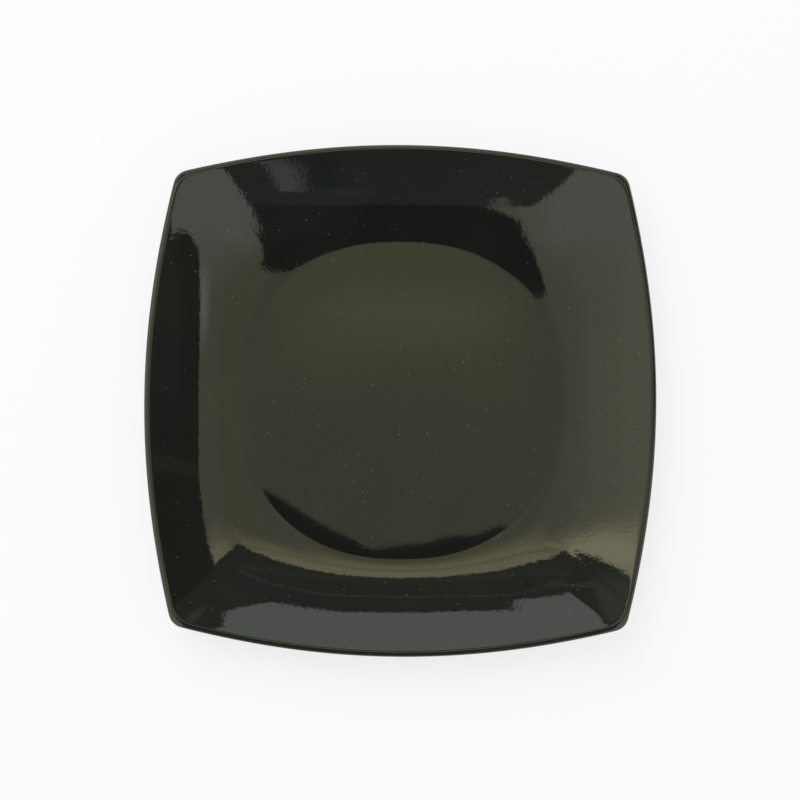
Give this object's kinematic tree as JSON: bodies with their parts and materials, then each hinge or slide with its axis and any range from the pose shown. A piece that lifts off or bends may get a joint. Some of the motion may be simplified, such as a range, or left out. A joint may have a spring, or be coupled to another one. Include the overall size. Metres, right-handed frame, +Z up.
{
  "type": "dinner plate",
  "caption": "Square stoneware dinner plate with bowed sides, rounded corners, a round well inside a concave raised rim, and a bare foot ring; holds a serving of food.",
  "frame": {"origin": "centre of the foot ring, on the plane that the plate stands on", "axes": "+Z up out of the well; X and Y point at the crowns of the bowed sides, the corners lie on the diagonals"},
  "size_m": [0.2666, 0.2666, 0.0295],
  "materials": {
    "clay": "bare fired stoneware, matt and slightly sandy, seen only on the foot ring",
    "glaze": "black high-gloss glaze with a fine ripple",
    "recess_glaze": "the same black high-gloss glaze inside the foot ring"
  },
  "bodies": {
    "root": {"stoneware_body": "clay", "outer_glaze": "glaze", "foot_recess_glaze": "recess_glaze"}
  },
  "joints": []
}
